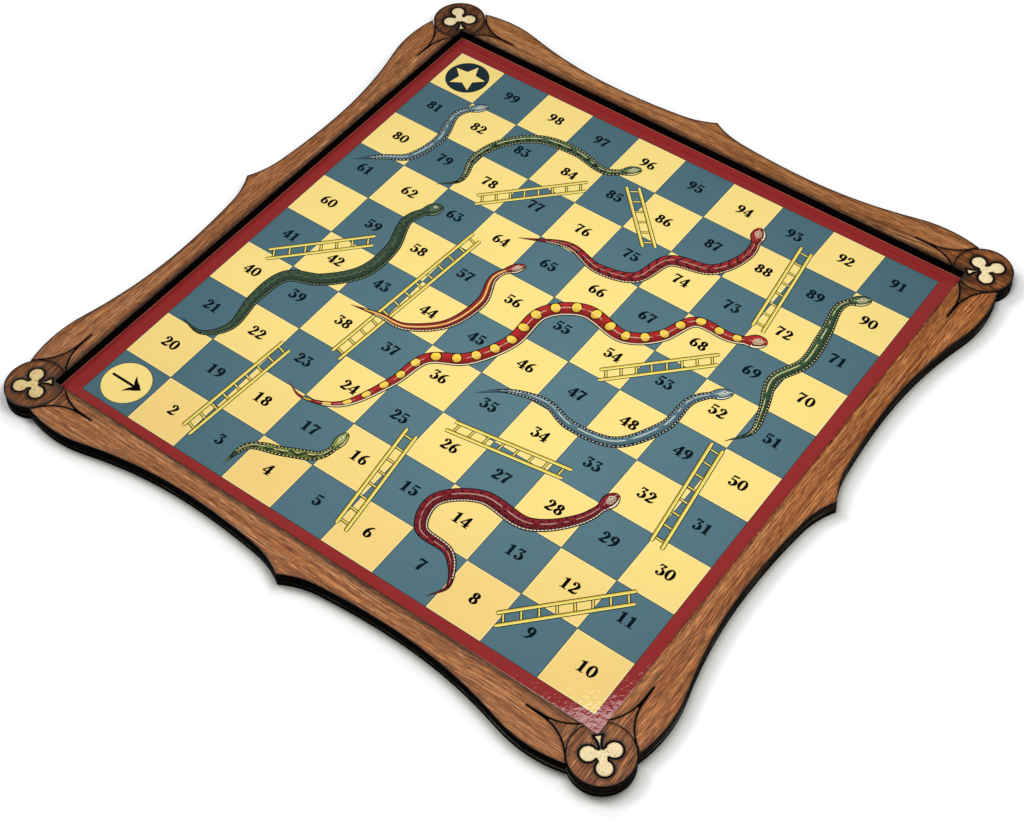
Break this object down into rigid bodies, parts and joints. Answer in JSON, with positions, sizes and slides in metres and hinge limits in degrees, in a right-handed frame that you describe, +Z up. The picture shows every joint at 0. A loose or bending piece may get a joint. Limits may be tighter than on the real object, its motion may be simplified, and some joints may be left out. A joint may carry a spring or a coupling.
{
  "type": "snakes and ladders board",
  "caption": "Square wooden snakes and ladders board with a scalloped frame, round corner discs with club inlays, and a printed play sheet set into it.",
  "frame": {"origin": "middle of the underside, on the table", "axes": "+Z up from the table, +X along the first row of squares (1 to 10), +Y up the board from that row"},
  "size_m": [0.3, 0.3, 0.007],
  "materials": {
    "stained_wood": "satin stain with scorched edges",
    "base_wood": "satin stain with scorched edges",
    "pale_wood": "plain matt",
    "printed_sheet": "gloss laminate over colour print"
  },
  "bodies": {
    "root": {"base_panel": "base_wood", "play_sheet": "printed_sheet", "rail_front": "stained_wood", "rail_right": "stained_wood", "rail_back": "stained_wood", "rail_left": "stained_wood", "corner_front_left": "stained_wood", "corner_front_right": "stained_wood", "corner_back_right": "stained_wood", "corner_back_left": "stained_wood", "club_front_left": "pale_wood", "club_front_right": "pale_wood", "club_back_right": "pale_wood", "club_back_left": "pale_wood"}
  },
  "joints": []
}
